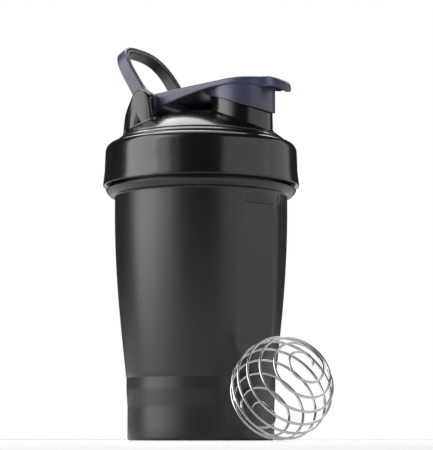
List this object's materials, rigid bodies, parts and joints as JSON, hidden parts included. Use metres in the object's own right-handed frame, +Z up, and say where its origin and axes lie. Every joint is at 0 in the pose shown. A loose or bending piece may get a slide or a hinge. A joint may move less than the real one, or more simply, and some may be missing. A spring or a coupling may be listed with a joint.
{
  "type": "protein shaker bottle",
  "caption": "Glossy black shaker bottle with a screw lid, navy flip cap over the spout, navy carry loop and a loose wire whisk ball.",
  "frame": {"origin": "centre of the cup's base, on the surface that it stands on", "axes": "+Z up along the bottle's axis, +X towards the spout, the lid's hinge lies on the -X side with its pin along Y"},
  "size_m": [0.1325, 0.0988, 0.2022],
  "materials": {
    "black_plastic": "glossy, very slightly textured",
    "navy_plastic": "satin",
    "seal_rubber": "matte",
    "grip_rubber": "matte",
    "steel": "polished stainless wire"
  },
  "bodies": {
    "bottle": {"cup": "black_plastic"},
    "gasket": {"lid_gasket": "seal_rubber"},
    "lid": {"lid": "black_plastic", "hinge_pin": "steel"},
    "cap": {"flip_cap": "navy_plastic", "cap_seal": "seal_rubber"},
    "loop": {"carry_loop": "navy_plastic", "loop_grip": "grip_rubber"},
    "ball": {"whisk_ball": "steel"}
  },
  "joints": [
    {"name": "lid_lift", "type": "slide", "parent": "bottle", "child": "gasket", "axis": [0, 0, 1], "range_m": [0, 0.0265]},
    {"name": "lid_turn", "type": "hinge", "parent": "gasket", "child": "lid", "pos_m": [0, 0, 0.138], "axis": [0, 0, 1], "range_deg": [0, 1170]},
    {"name": "cap_flip", "type": "hinge", "parent": "lid", "child": "cap", "pos_m": [-0.02, 0, 0.1684], "axis": [0, -1, 0], "range_deg": [0, 90]},
    {"name": "loop_swing", "type": "hinge", "parent": "lid", "child": "loop", "pos_m": [-0.02, 0, 0.1684], "axis": [0, -1, 0], "range_deg": [0, 75]},
    {"name": "ball_roll", "type": "slide", "parent": "bottle", "child": "ball", "axis": [0.9366, -0.3503, 0], "range_m": [0, 0.1]}
  ],
  "couplings": [
    {"joint": "lid_lift", "follows": "lid_turn", "m_per_rad": 0.0012732}
  ]
}
